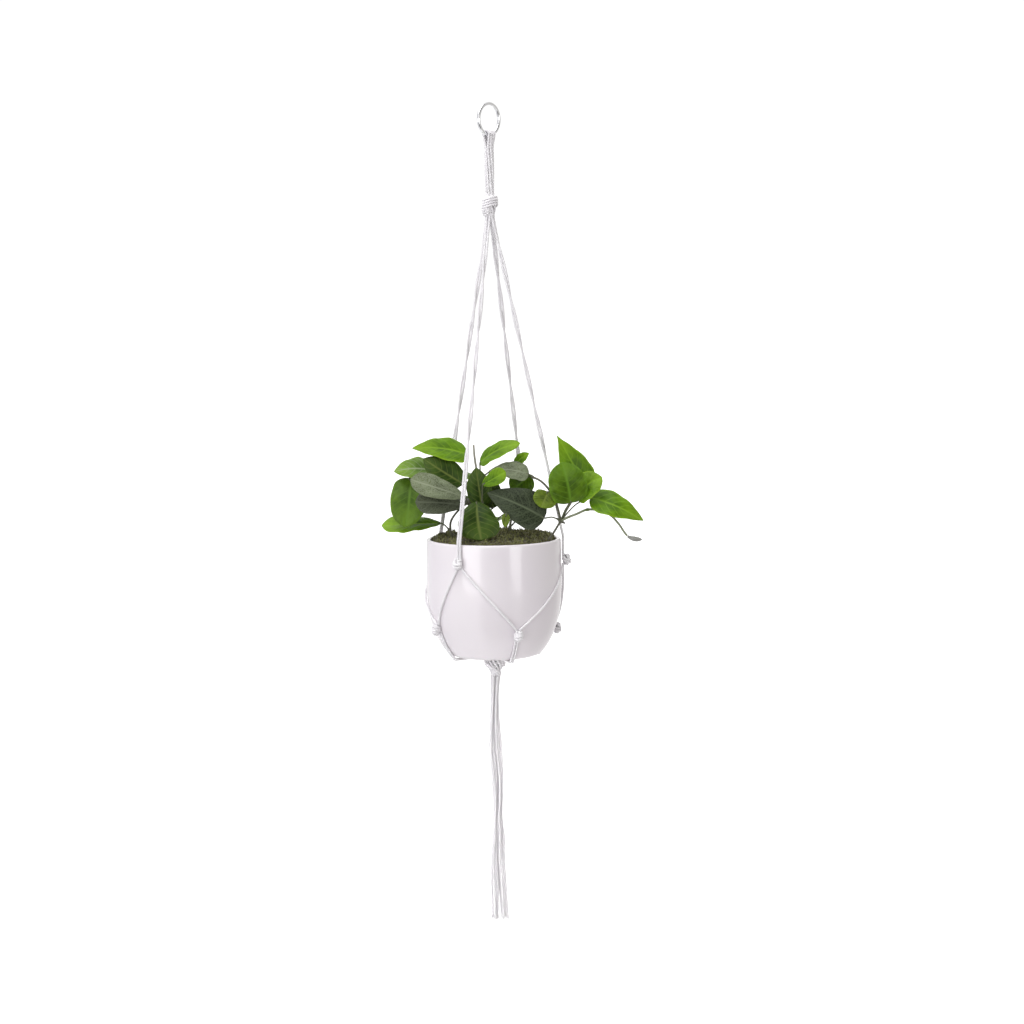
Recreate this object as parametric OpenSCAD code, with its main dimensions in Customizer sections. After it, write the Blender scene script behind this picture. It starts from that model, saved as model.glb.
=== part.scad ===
// Hanging macrame planter: a steel ring, a sling of knotted cotton cord, a glazed pot and its foliage.
// Origin: where a hook bears on the inside of the ring's top. +Z is up and -Y is the front.
// An azimuth is measured from the front towards +X. Heights are negative, because all hangs below the hook.

/* [Cord] */
// Diameter of the cotton cord
cord_d = 2.8; // [2.4:0.1:2.8]
// Air between a cord and the pot
pot_gap = 0.35; // [0.3:0.05:0.6]

/* [Ring] */
// Radius of the ring to the middle of its wire
ring_r = 17; // [16:0.5:19]
// Diameter of the ring's wire
wire_d = 4; // [3:0.5:4]
// Turn of the ring about the vertical
ring_yaw = 50; // [0:5:90]
// Air between the wire and the cords looped over it
loop_gap = 0.6; // [0.5:0.1:1]

/* [Hanger] */
// Depth of the top knot's upper end below the hook
neck_depth = 96; // [90:1:110]
// Height of the top knot
top_knot_h = 24; // [20:1:28]
// Radius of the top knot
top_knot_r = 9.3; // [8:0.1:11]
// Depth of the pot's rim below the hook
rim_depth = 475; // [470:1:480]
// Drop below the rim of the highest of the upper net knots
mid_drop = 20; // [18:1:26]
// Drop below the rim of the highest of the lower net knots
lower_drop = 95; // [90:1:98]
// Length of the tail below the bottom knot
tail_l = 272; // [220:1:300]

/* [Pot] */
// Radius of the pot at its rim
pot_r = 75; // [74:0.5:76]
// Height of the pot
pot_h = 130; // [126:1:132]
// Radius of the pot's foot
foot_r = 50; // [46:1:54]
// Thickness of the pot's wall
wall = 5; // [4:0.5:7]

/* [Plant] */
// Thickness of a leaf
leaf_t = 1; // [0.6:0.1:1.4]
// Radius of a main stem
stem_r = 1.3; // [1:0.1:1.6]
// Radius of a leaf stalk
stalk_r = 0.8; // [0.6:0.1:1]

/* [Hidden] */
$fn = 48;
cord_r = cord_d / 2;

// heights of the main levels
ring_z = wire_d / 2 - ring_r;
neck_z = -neck_depth;
legs_z = neck_z - top_knot_h;
rim_z = -rim_depth;
foot_z = rim_z - pot_h;
under_knot_top = foot_z - 2;
under_knot_h = 22;
tail_gap = 0.3;
tail_z = under_knot_top - under_knot_h - tail_gap;

// the eight strands of a bundle stand in a circle
bundle_r = 4;
strand_step = 45;
loop_pitch = 3.1;
neck_twist = 50;
bury = 1.5;
neck_gap = 0.3;

// azimuths of the four legs, and of the lower knots that follow them
LEG_AZ = [-29, 87, 151, 231];
LOWER_AZ = [21, 106, 191, 301];
leg_slot_az = -51.5;
// the knots are tied by hand, so each hangs a little lower than the highest of its row
MID_Z = [for (fall = [0, 4, 6, 7]) rim_z - mid_drop - fall];
LOWER_Z = [for (fall = [3, 7, 5, 0]) rim_z - lower_drop - fall];
// how far the two strands of each leg part above the foliage
LEG_PART = [0, 3.5, 0, 0];

small_knot_r = 5.4;
small_knot_h = 12;

// the pot is straight at the top and a squarish oval below its belly
belly_z = rim_z - 50;
oval = 2.3;
belly_h = (belly_z - foot_z) / pow(1 - pow(foot_r / pot_r, oval), 1 / oval);
floor_t = 7;

function unit(v) = v / norm(v);
function mix(a, b, t) = a + (b - a) * t;
function pick(r, i) = is_list(r) ? r[i] : r;
function around(az, r, z, side = 0) =
    [r * sin(az) + side * cos(az), -r * cos(az) + side * sin(az), z];

// a smooth curve through a route's points, by Catmull and Rom's formula
function bend(p, q, r, s, t) = 0.5 * (2 * q + (r - p) * t + (2 * p - 5 * q + 4 * r - s) * t * t
    + (3 * q - p - 3 * r + s) * t * t * t);
function smooth(route, steps) = let (last = len(route) - 1) [for (i = [0 : steps])
    let (u = i * last / steps, k = min(floor(u), last - 1))
    bend(route[max(k - 1, 0)], route[k], route[k + 1], route[min(k + 2, last)], u - k)];

// a closed skin over rings of equal size
module skin(rings) {
    n = len(rings[0]);
    last = len(rings) - 1;
    points = [for (ring = rings) each ring];
    sides = [for (i = [0 : last - 1]) for (k = [0 : n - 1])
        let (a = i * n + k, b = i * n + (k + 1) % n)
        each [[a, a + n, b + n], [a, b + n, b]]];
    start = [for (k = [0 : n - 1]) k];
    end = [for (k = [0 : n - 1]) last * n + n - 1 - k];
    polyhedron(points, concat(sides, [start, end]), convexity = 6);
}

// a round tube along a path, where across is never in line with the path
module tube(path, radius, across, sides = 8) {
    last = len(path) - 1;
    skin([for (i = [0 : last])
        let (
            t = unit(path[min(i + 1, last)] - path[max(i - 1, 0)]),
            x = unit(cross(across, t)),
            y = cross(t, x)
        )
        [for (k = [0 : sides - 1])
            path[i] + pick(radius, i) * (cos(360 * k / sides) * x + sin(360 * k / sides) * y)]]);
}

// a knot's outer shape, round and upright
module knot(radius, height) {
    rotate_extrude()
        polygon([for (a = [-90 : 15 : 90]) [radius * pow(cos(a), 0.7), height / 2 * sin(a)]]);
}

// ---- ring and neck ----
// a point in the ring's own frame: along the ring's plane, across it, and up
function ring_point(s, across, z) =
    [s * cos(ring_yaw) - across * sin(ring_yaw), s * sin(ring_yaw) + across * cos(ring_yaw), z];

neck_top = ring_z - ring_r - 14;
loop_r = wire_d / 2 + loop_gap + cord_r;
function neck_point(slot, h) =
    let (a = slot + neck_twist * (1 - h))
    ring_point(bundle_r * cos(a), bundle_r * sin(a), mix(neck_z + neck_gap, neck_top, h));
function loop_route(i) = let (
        s = (i - 1.5) * loop_pitch,
        wire_z = ring_z - sqrt(ring_r * ring_r - s * s),
        slot = 3.5 * strand_step - i * strand_step
    )
    concat(
        [for (h = [0 : 5]) neck_point(slot, h / 5)],
        [for (a = [0 : 30 : 180]) ring_point(s, loop_r * cos(a), wire_z + loop_r * sin(a))],
        [for (h = [5 : -1 : 0]) neck_point(-slot, h / 5)]
    );

module hang_ring() {
    color("gainsboro")
        translate([0, 0, ring_z]) rotate([0, 0, ring_yaw]) rotate([90, 0, 0])
            rotate_extrude() translate([ring_r, 0]) circle(d = wire_d);
}

module neck_cords() {
    color("ivory")
        for (i = [0 : 3]) tube(loop_route(i), cord_r, ring_point(1, 0, 0));
}

module top_knot() {
    color("ivory") translate([0, 0, neck_z - top_knot_h / 2]) knot(top_knot_r, top_knot_h);
}

// ---- legs ----
fan_z = legs_z - 30;
fan_r = 9;
leg_r = pot_r + pot_gap + cord_r;
// [height, how much of the parting shows] down a leg
LEG_STOPS = [[fan_z, 0], [-250, 0], [-340, 0], [-385, 0], [-402, 0.8], [-418, 1], [-434, 0.7], [-455, 0]];
function leg_at(z) = mix(fan_r, leg_r, (z - fan_z) / (rim_z + 3 - fan_z));
function leg_route(i, side) = let (az = LEG_AZ[i], half = cord_r + 0.05) concat(
        [around(leg_slot_az + strand_step * (2 * i + (side + 1) / 2), bundle_r, legs_z + bury)],
        [for (s = LEG_STOPS) around(az, leg_at(s[0]), s[0], side * (half + s[1] * LEG_PART[i]))],
        [
            for (z = [rim_z + 3, rim_z - 3, MID_Z[i] + small_knot_h / 2 - bury])
                around(az, leg_r, z, side * half)
        ]
    );

module leg(i) {
    color("ivory")
        for (side = [-1, 1]) tube(leg_route(i, side), cord_r, around(LEG_AZ[i] + 90, 1, 0));
}

// ---- net round the pot ----
function pot_at(z) =
    z >= belly_z ? pot_r : pot_r * pow(1 - pow((belly_z - z) / belly_h, oval), 1 / oval);
function wall_normal(z) = unit([
    pow(pot_at(z), oval - 1) / pow(pot_r, oval),
    z >= belly_z ? 0 : -pow(belly_z - z, oval - 1) / pow(belly_h, oval)
]);
// a point standing off the pot's wall
function on_pot(az, z, off, side = 0) = let (n = wall_normal(z))
    around(az, pot_at(z) + off * n[0], z + off * n[1], side);
cord_off = pot_gap + cord_r;

module mid_knot(i) {
    color("ivory")
        translate(on_pot(LEG_AZ[i], MID_Z[i], pot_gap + small_knot_r)) knot(small_knot_r, small_knot_h);
}

module lower_knot(i) {
    color("ivory")
        translate(on_pot(LOWER_AZ[i], LOWER_Z[i], pot_gap + small_knot_r)) knot(small_knot_r, small_knot_h);
}

// strand 2i runs from leg i to the lower knot after it, and strand 2i + 1 to the one before it
net_steps = 10;
net_side_az = 1.15;
function net_route(j) = let (
        i = floor(j / 2),
        turn = j % 2 == 0 ? 1 : -1,
        k = turn > 0 ? i : (i + 3) % 4,
        from = LEG_AZ[i] + turn * net_side_az,
        to = LOWER_AZ[k] - (k > i ? 360 : 0) - turn * net_side_az,
        top = MID_Z[i] - small_knot_h / 2 + bury,
        low = LOWER_Z[k] + small_knot_h / 2 - bury
    )
    [
        for (s = [0 : net_steps])
            on_pot(mix(from, to, s / net_steps), mix(top, low, s / net_steps), cord_off)
    ];

module net_strand(j) {
    color("ivory") tube(net_route(j), cord_r, [0, 0, 1]);
}

// the pair of strands under each lower knot turns round the foot and meets the others under the pot
foot_turn = atan2(-wall_normal(foot_z)[1], wall_normal(foot_z)[0]);
function under_route(i, side) = let (az = LOWER_AZ[i], half = cord_r + 0.05) concat(
        [for (z = [LOWER_Z[i] - small_knot_h / 2 + bury, foot_z + 16, foot_z + 9, foot_z + 4])
            on_pot(az, z, cord_off, side * half)],
        [for (t = [0 : 3]) let (a = mix(foot_turn, 90, t / 3))
            around(az, foot_r + cord_off * cos(a), foot_z - cord_off * sin(a), side * half)],
        [around(az, 30, foot_z - cord_off, side * half), around(az, 15, foot_z - 2.8, side * half)],
        [around(az, 8.5, under_knot_top - bury, side * half)]
    );

module under_strands(i) {
    color("ivory")
        for (side = [-1, 1]) tube(under_route(i, side), cord_r, around(LOWER_AZ[i] + 90, 1, 0));
}

// the bottom knot narrows from the strands that come in under the pot to the bundle of the tail
BOTTOM_KNOT = [[9.5, 0], [12, 3], [12.4, 7], [11.2, 12], [8.4, 17], [6.8, under_knot_h]];
module bottom_knot() {
    color("ivory")
        translate([0, 0, under_knot_top]) rotate_extrude()
            polygon(concat([[0, 0]], [for (p = BOTTOM_KNOT) [p[0], -p[1]]], [[0, -under_knot_h]]));
}

// ---- tail ----
// depths below the bottom knot at which each strand's place is given, for a tail 272 long
TAIL_DEPTH = [0, 20, 45, 80, 110, 135, 160, 185, 210, 240, 272];
// strands in four layers from front to back, two to a layer
TAIL_Y = [-4.5, -4.5, -1.5, -1.5, 1.5, 1.5, 4.5, 4.5];
// the bunch's left and right strands at those depths, and each strand's place between them
TAIL_LEFT = [-3.5, -4, -5.5, -7, -4.5, -3, -3.5, -4.5, -6, -5.5, -6];
TAIL_RIGHT = [5, 3, 3, 5, 6.5, 6.5, 5.5, 7.5, 7, 9.5, 11.5];
TAIL_SHARE = [0.15, 0.7, 0.35, 1, 0, 0.55, 0.25, 0.85];
tail_weave = 0.05;
tail_weave_turn = 3; // degrees of the weave for each millimetre of depth
strand_turn = 70; // degrees of the weave from one strand to the next
tail_steps = 30;
tail_last = len(TAIL_DEPTH) - 1;
function tail_route(i) = [for (k = [0 : tail_last])
    let (share = TAIL_SHARE[i] + tail_weave * sin(strand_turn * i + tail_weave_turn * TAIL_DEPTH[k]))
        [
            mix(TAIL_LEFT[k], TAIL_RIGHT[k], share),
            TAIL_Y[i],
            tail_z - TAIL_DEPTH[k] * tail_l / TAIL_DEPTH[tail_last]
        ]
];

module tail_strand(i) {
    color("ivory") tube(smooth(tail_route(i), tail_steps), cord_r, [0, 1, 0]);
}

// ---- pot and soil ----
inner_r = pot_r - wall;
soil_edge_z = rim_z - 2;
soil_crown = 8;
bowl_steps = 10;
// heights down the bowl, closer together towards the foot
function bowl_zs(low) = [for (k = [0 : bowl_steps]) mix(belly_z, low, pow(k / bowl_steps, 0.8))];
function hollow(gap) = let (zs = bowl_zs(foot_z + floor_t))
    [for (k = [bowl_steps : -1 : 0]) [pot_at(zs[k]) - wall - gap, zs[k]]];

module pot() {
    bowl = [for (z = bowl_zs(foot_z)) [pot_at(z), z]];
    lip_r = wall / 2;
    lip = [for (a = [180 : -30 : 0]) [pot_r - lip_r + lip_r * cos(a), rim_z - lip_r + lip_r * sin(a)]];
    color("white")
        rotate_extrude()
            polygon(concat([[0, foot_z + floor_t]], hollow(0), lip, bowl, [[0, foot_z]]));
}

module soil() {
    gap = 0.3;
    soil_r = inner_r - gap;
    crown = [for (k = [0 : 6]) let (r = soil_r * (1 - k / 6))
        [r, soil_edge_z + soil_crown * (1 - pow(r / soil_r, 2))]];
    color("darkolivegreen")
        rotate_extrude()
            polygon(concat([[0, foot_z + floor_t]], hollow(gap), crown));
}

// ---- foliage ----
GREEN = "yellowgreen";
DARK = "darkgreen";
SILVER = "darkseagreen";
OLIVE = "olivedrab";

// half width of a leaf from its base to its tip, as shares of its length and width
OVATE = [[0, 0.25], [0.14, 0.78], [0.36, 1], [0.62, 0.88], [0.86, 0.48], [1, 0.05]];
ROUND = [[0, 0.35], [0.14, 0.86], [0.4, 1], [0.66, 0.94], [0.88, 0.6], [1, 0.08]];
WIDE = [[0, 0.4], [0.1, 0.85], [0.26, 1], [0.55, 0.82], [0.82, 0.42], [1, 0.05]];
BLUNT = [[0, 0.2], [0.2, 0.62], [0.5, 0.94], [0.72, 1], [0.9, 0.72], [1, 0.15]];
POINTED = [[0, 0.3], [0.12, 0.85], [0.25, 1], [0.5, 0.8], [0.76, 0.36], [1, 0.04]];

// Each sprig is its stems, and its leaves as
// [stem, point on it, base, tip, width, facing, bow, outline, colour].
SPRIGS = [
    [
        [
            [[-14, 2, -500], [-18, 0, -470], [-24, -4, -440], [-30, -8, -412], [-32, -8, -402]],
            [[-14, 2, -500], [-28, -4, -484], [-42, -4, -472], [-50, -2, -464]]
        ],
        [
            [0, 4, [-28, -8, -380.5], [-88, -20, -372.5], 36, [0.1, -0.65, 0.75], 2, WIDE, GREEN],
            [0, 3, [-58, 2, -402], [-109, -8, -399], 38, [0, -0.6, 0.8], 4, OVATE, GREEN],
            [0, 3, [-33, -22, -412], [-76, -22, -384], 34, [-0.2, -0.8, 0.6], 3, OVATE, DARK],
            [0, 2, [-90.5, -2, -407], [-96.5, -22, -459.5], 42, [-0.2, -1, 0.25], 5, ROUND, GREEN],
            [1, 3, [-59, 2, -458], [-124, 0, -460], 34, [0, -0.45, 0.9], 3, BLUNT, GREEN],
            [0, 2, [-42, 10, -424], [-88, 16, -412], 26, [-0.1, 0.3, 0.9], 5, OVATE, DARK]
        ]
    ],
    [
        [
            [[-40, -12, -500], [-46, -17, -472], [-47, -22, -455], [-40, -27, -443], [-33, -28, -437]]
        ],
        [
            [0, 4, [-33, -32, -425], [-90, -38, -405.5], 27, [-0.1, -0.85, 0.5], 6, BLUNT, SILVER],
            [0, 4, [-33, -26, -435], [-85, -35, -430.5], 30, [0, -0.8, 0.55], 3, BLUNT, SILVER]
        ]
    ],
    [
        [
            [[-6, 4, -500], [-9, 2, -465], [-12, -2, -430], [-14, -6, -408]],
            [[-12, -2, -430], [-17, 0, -405], [-20, 0, -385], [-21, 0, -371]]
        ],
        [
            [0, 3, [-14, -6, -390.5], [30.5, -16, -368.5], 25, [0, -0.6, 0.8], 7, OVATE, GREEN],
            [0, 3, [24, -6, -393], [40, -9, -380], 14, [0, -0.7, 0.7], 1, OVATE, GREEN]
        ]
    ],
    [
        [
            [[0, -16, -500], [-4, -20, -470], [-8, -26, -448], [-12, -30, -432]]
        ],
        [
            [0, 2, [-18, -36, -431], [-13, -56, -471], 46, [0.15, -0.9, 0.4], 4, BLUNT, DARK],
            [0, 1, [14, -55, -442], [13, -57, -457], 9, [0, -1, 0.2], 1, OVATE, OLIVE],
            [0, 2, [-12, -22, -438], [-18, -26, -394], 29, [-0.3, -0.9, 0.3], 3, OVATE, DARK],
            [0, 2, [0, -15, -440], [-3, -18, -404], 24, [0.4, -0.9, 0.3], 3, OVATE, DARK],
            [0, 3, [-11, -38, -412], [14, -41, -397], 18, [0, -1, 0.35], 2, BLUNT, GREEN]
        ]
    ],
    [
        [
            [[46, -20, -500], [56, -26, -480], [65, -30, -468], [74, -33, -453]],
            [[74, -33, -453], [82, -35, -449], [92, -37, -445], [103, -38, -440.5], [116, -39, -441.5],
                [128, -40, -446.5], [137, -41, -456], [143, -42, -465], [146.4, -42.5, -469.3]],
            [[74, -33, -453], [69, -33, -433], [61, -32, -418], [52, -29, -409], [43, -26, -405]]
        ],
        [
            [0, 3, [104, -22, -417.5], [71, -25, -360], 36, [0.3, -0.9, 0.3], 5, POINTED, GREEN],
            [0, 3, [85, -48, -432], [75.5, -52, -387], 42, [-0.2, -0.9, 0.4], 5, ROUND, GREEN],
            [0, 3, [90, -41, -426], [119, -46, -404], 32, [0.2, -0.7, 0.65], 4, ROUND, GREEN],
            [0, 3, [107, -36, -427.5], [164, -44, -452.5], 34, [0.2, -0.75, 0.6], 9, WIDE, GREEN],
            [0, 3, [56, -41, -449], [-6, -36, -421], 44, [0.15, -0.9, 0.4], 5, WIDE, SILVER],
            [2, 1, [60, -40, -420], [52, -44, -437], 26, [0, -1, 0.2], 2, ROUND, OLIVE],
            [2, 4, [39.5, -26, -402], [-4, -24, -398], 26, [0, -0.7, 0.7], 4, WIDE, SILVER],
            [2, 4, [42, -14, -405], [20, -8, -423], 30, [0.1, -0.8, 0.5], 2, ROUND, GREEN]
        ]
    ],
    [
        [
            [[-8, 12, -500], [-10, 18, -465], [-12, 24, -435], [-14, 28, -425]]
        ],
        [
            [0, 3, [-14, 40, -420], [-30, 88, -412], 30, [0, 0.4, 0.9], 6, OVATE, GREEN],
            [0, 2, [-22, 42, -436], [-42, 92, -452], 30, [0, 0.5, 0.85], 8, OVATE, DARK],
            [0, 1, [-4, 46, -460], [4, 88, -466], 22, [0.1, 0.4, 0.9], 4, OVATE, GREEN]
        ]
    ],
    [
        [
            [[14, 10, -500], [18, 14, -465], [24, 18, -440], [30, 22, -425]]
        ],
        [
            [0, 1, [60, 38, -440], [98, 62, -434], 30, [0.3, 0.3, 0.9], 6, OVATE, GREEN],
            [0, 2, [30, 24, -434], [50, 46, -436], 22, [0.2, 0.4, 0.9], 4, OVATE, DARK]
        ]
    ]
];

leaf_fold = 0.18;
socket = 3;

module leaf(base, tip, width, facing, bow, outline) {
    length = norm(tip - base);
    along = (tip - base) / length;
    up = unit(facing - (facing * along) * along);
    across = cross(up, along);
    skin([for (s = outline)
        let (
            middle = base + s[0] * length * along + 4 * bow * s[0] * (1 - s[0]) * up,
            half = s[1] * width / 2,
            edge = half * (across + leaf_fold * up),
            other = half * (leaf_fold * up - across),
            thick = leaf_t / 2 * up
        )
        [middle + other - thick, middle - thick, middle + edge - thick,
            middle + edge + thick, middle + thick, middle + other + thick]]);
}

module stalk(start, base, tip) {
    rise = [0, 0, 0.12 * norm(base - start)];
    into = socket * unit(tip - base);
    tube(smooth([start, mix(start, base, 0.5) + rise, base, base + into], 6), stalk_r, [0.35, 0.9, 0.25], 6);
}

module sprig_stems(i) {
    color("darkolivegreen") {
        for (route = SPRIGS[i][0]) tube(route, stem_r, [0.2, 0.95, 0.1], 6);
        for (l = SPRIGS[i][1]) stalk(SPRIGS[i][0][l[0]][l[1]], l[2], l[3]);
    }
}

module sprig_leaves(i) {
    for (l = SPRIGS[i][1]) color(l[8]) leaf(l[2], l[3], l[4], l[5], l[6], l[7]);
}

// the bare twig of the right-hand sprig ends in a bud
module twig_bud() {
    color("darkgray")
        tube([[146.8, -42.5, -469.6], [149.5, -43, -471.2], [153.5, -43.3, -472.3], [158, -43.7, -473],
            [162.5, -44, -473.3]], [stem_r, 2.2, 2.9, 2.6, 0.9], [0, 1, 0]);
}

hang_ring();
neck_cords();
top_knot();
for (i = [1 : 4]) leg(i - 1);
for (i = [1 : 4]) mid_knot(i - 1);
for (i = [1 : 8]) net_strand(i - 1);
for (i = [1 : 4]) lower_knot(i - 1);
for (i = [1 : 4]) under_strands(i - 1);
bottom_knot();
for (i = [1 : 8]) tail_strand(i - 1);
pot();
soil();
for (i = [1 : 7]) sprig_stems(i - 1);
for (i = [1 : 7]) sprig_leaves(i - 1);
twig_bud();
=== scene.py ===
import math

import bmesh
import bpy
import numpy as np
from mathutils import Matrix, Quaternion, Vector, noise


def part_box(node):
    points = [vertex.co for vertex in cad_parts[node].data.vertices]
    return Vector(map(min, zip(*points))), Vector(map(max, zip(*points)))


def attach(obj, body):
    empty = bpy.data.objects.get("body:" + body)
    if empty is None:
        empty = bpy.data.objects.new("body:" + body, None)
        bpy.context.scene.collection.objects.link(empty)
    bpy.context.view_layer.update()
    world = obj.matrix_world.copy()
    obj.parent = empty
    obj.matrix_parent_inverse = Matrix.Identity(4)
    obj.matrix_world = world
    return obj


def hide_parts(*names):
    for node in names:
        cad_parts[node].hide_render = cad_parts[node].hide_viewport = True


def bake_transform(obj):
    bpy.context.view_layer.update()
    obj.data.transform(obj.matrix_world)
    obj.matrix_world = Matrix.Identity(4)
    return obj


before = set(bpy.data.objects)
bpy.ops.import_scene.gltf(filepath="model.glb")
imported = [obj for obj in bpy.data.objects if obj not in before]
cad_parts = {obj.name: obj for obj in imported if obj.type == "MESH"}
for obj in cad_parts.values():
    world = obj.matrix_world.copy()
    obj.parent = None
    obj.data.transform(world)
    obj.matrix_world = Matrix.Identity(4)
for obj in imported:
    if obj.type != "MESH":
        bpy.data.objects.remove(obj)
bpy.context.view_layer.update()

# Lengths are in metres. +Z is up, -Y is the front, and an azimuth is measured from the front towards +X.
MM = 0.001

# ---- sizes ----
# These repeat part.scad's sizes, or come from the frame.
CORD_D = 2.8 * MM
CORD_R = CORD_D / 2
POT_GAP = 0.35 * MM
PAIR_HALF = CORD_R + 0.05 * MM  # half the distance between the two strands of a pair
BUNDLE_R = 4 * MM
STRAND_STEP = 45
SMALL_KNOT_H = 12 * MM

pot_low, pot_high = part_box("pot")
POT_R, RIM_Z, FOOT_Z = pot_high.x, pot_high.z, pot_low.z
BELLY_Z = RIM_Z - 50 * MM
FOOT_R = 50 * MM
OVAL = 2.3
BELLY_H = (BELLY_Z - FOOT_Z) / (1 - (FOOT_R / POT_R) ** OVAL) ** (1 / OVAL)
WALL = 5 * MM
top_knot_low, top_knot_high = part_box("top_knot")
NECK_Z, LEGS_Z = top_knot_high.z, top_knot_low.z
under_low, under_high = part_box("bottom_knot")
TAIL_Z = under_low.z - 0.3 * MM
MID_Z = [RIM_Z - drop * MM for drop in (20, 24, 26, 27)]
LOWER_Z = [RIM_Z - drop * MM for drop in (98, 102, 100, 95)]

LEG_AZ = [-29, 87, 151, 231]
LOWER_AZ = [21, 106, 191, 301]
LEG_SLOT_AZ = -51.5


# ---- curves and frames ----
def unit(v):
    v = np.asarray(v, float)
    return v / np.linalg.norm(v, axis=-1, keepdims=True)


def mix(a, b, t):
    return a + (b - a) * t


def around(az, r, z, side=0.0):
    """A point at radius r and height z on an azimuth in degrees, moved sideways."""
    a = math.radians(az)
    return np.array([r * math.sin(a) + side * math.cos(a), -r * math.cos(a) + side * math.sin(a), z])


def lengths(path):
    """The distance along a path at each of its points."""
    return np.concatenate([[0], np.cumsum(np.linalg.norm(np.diff(path, axis=0), axis=1))])


def curve(points, spacing):
    """Evenly spaced points on the Catmull-Rom curve through the given ones."""
    p = np.asarray(points, float)
    p = np.vstack([p[:1], p, p[-1:]])
    t = np.linspace(0, 1, 16, endpoint=False)[:, None]
    parts = [
        0.5 * (2 * b + (c - a) * t + (2 * a - 5 * b + 4 * c - d) * t**2 + (3 * b - a - 3 * c + d) * t**3)
        for a, b, c, d in zip(p, p[1:], p[2:], p[3:])
    ]
    dense = np.vstack(parts + [p[-1:]])
    reach = lengths(dense)
    where = np.linspace(0, reach[-1], max(2, round(reach[-1] / spacing)) + 1)
    return np.column_stack([np.interp(where, reach, dense[:, k]) for k in range(3)])


def frames(path):
    """At each point two crosswise directions, which turn about the path as little as they can."""
    tangent = unit(np.gradient(path, axis=0))
    side = unit(np.cross(tangent[0], [0.37, 0.61, 0.7]))
    sides = []
    for t in tangent:
        side = unit(side - (side @ t) * t)
        sides.append(side)
    sides = np.array(sides)
    return sides, np.cross(tangent, sides)


# ---- meshes ----
class Shape:
    """The mesh of one piece: parts are added to it, with a tone at each vertex for its material."""

    def __init__(self):
        self.points, self.faces, self.uvs, self.tones, self.count = [], [], [], [], 0

    def add(self, points, faces, uvs, tones):
        start = self.count
        self.points.append(np.asarray(points, float))
        self.faces += [tuple(start + k for k in f) for f in faces]
        self.uvs += uvs
        self.tones.append(np.broadcast_to(np.asarray(tones, float), len(points)))
        self.count += len(points)

    def rings(self, rings, along, tones, caps=True):
        """Joins rings of equal size into a skin. along is the length at each ring."""
        n, k = rings.shape[:2]
        faces, uvs = [], []
        for i in range(n - 1):
            for j in range(k):
                j2 = (j + 1) % k
                faces.append((i * k + j, i * k + j2, (i + 1) * k + j2, (i + 1) * k + j))
                u, u2, v, v2 = j / k, (j + 1) / k, along[i], along[i + 1]
                uvs += [(u, v), (u2, v), (u2, v2), (u, v2)]
        if caps:
            faces += [tuple(range(k - 1, -1, -1)), tuple(range((n - 1) * k, n * k))]
            uvs += [(0.5, along[0])] * k + [(0.5, along[-1])] * k
        self.add(rings.reshape(-1, 3), faces, uvs, tones)

    def tube(self, path, radius, sides=8, tone=0.5):
        """A round tube with a radius at each point of its path."""
        x, y = frames(path)
        a = np.arange(sides) * 2 * math.pi / sides
        r = np.broadcast_to(np.asarray(radius, float), len(path))[:, None, None]
        out = x[:, None] * np.cos(a)[None, :, None] + y[:, None] * np.sin(a)[None, :, None]
        tones = np.repeat(np.broadcast_to(np.asarray(tone, float), len(path)), sides)
        self.rings(path[:, None] + r * out, lengths(path), tones)

    def grid(self, top, bottom, tones):
        """A thin closed leaf between two grids of points, facing up on the first."""
        rows, cols = top.shape[:2]
        size = rows * cols
        u, v = np.linspace(0, 1, rows), np.linspace(0, 1, cols)
        faces, uvs = [], []

        def face(*corners):
            faces.append(tuple(layer * size + i * cols + j for layer, i, j in corners))
            uvs.extend((u[i], v[j]) for _, i, j in corners)

        for i in range(rows - 1):
            for j in range(cols - 1):
                face((0, i, j), (0, i + 1, j), (0, i + 1, j + 1), (0, i, j + 1))
                face((1, i, j), (1, i, j + 1), (1, i + 1, j + 1), (1, i + 1, j))
            last = cols - 1
            face((0, i, 0), (1, i, 0), (1, i + 1, 0), (0, i + 1, 0))
            face((0, i, last), (0, i + 1, last), (1, i + 1, last), (1, i, last))
        for j in range(cols - 1):
            last = rows - 1
            face((0, 0, j), (0, 0, j + 1), (1, 0, j + 1), (1, 0, j))
            face((0, last, j), (1, last, j), (1, last, j + 1), (0, last, j + 1))
        self.add(np.vstack([top.reshape(-1, 3), bottom.reshape(-1, 3)]), faces, uvs, tones)


def add_object(name, data):
    obj = bpy.data.objects.new(name, data)
    bpy.context.scene.collection.objects.link(obj)
    return obj


def piece(name, shape, material, body=None, replaces=()):
    """Makes the object of a shape. A piece with no body here is not attached to one."""
    mesh = bpy.data.meshes.new(name)
    mesh.from_pydata(np.vstack(shape.points).tolist(), [], shape.faces)
    mesh.uv_layers.new(name="UVMap").data.foreach_set("uv", np.asarray(shape.uvs, np.float32).ravel())
    tone = mesh.attributes.new("tone", "FLOAT", "POINT")
    tone.data.foreach_set("value", np.concatenate(shape.tones).astype(np.float32))
    mesh.polygons.foreach_set("use_smooth", np.ones(len(shape.faces), bool))
    mesh.materials.append(material)
    obj = add_object(name, mesh)
    if replaces:
        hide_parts(*replaces)
    if body:
        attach(obj, body)
    return obj


# ---- rope ----
# Three plies: the radius of one ply across its width, from one groove to the next, and its tone, which is
# painted shade: darkest in the groove between plies, lightest on the crest.
PLY_RADIUS = [0.72, 0.95, 1.0, 0.95]
PLY_GROOVE_SHADE = [0.0, 0.75, 1.0, 0.75]
PLIES = 3
ROPE_LAY = 9.6 * MM  # length of one full turn of the plies
ROPE_STEP = 0.8 * MM


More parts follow.
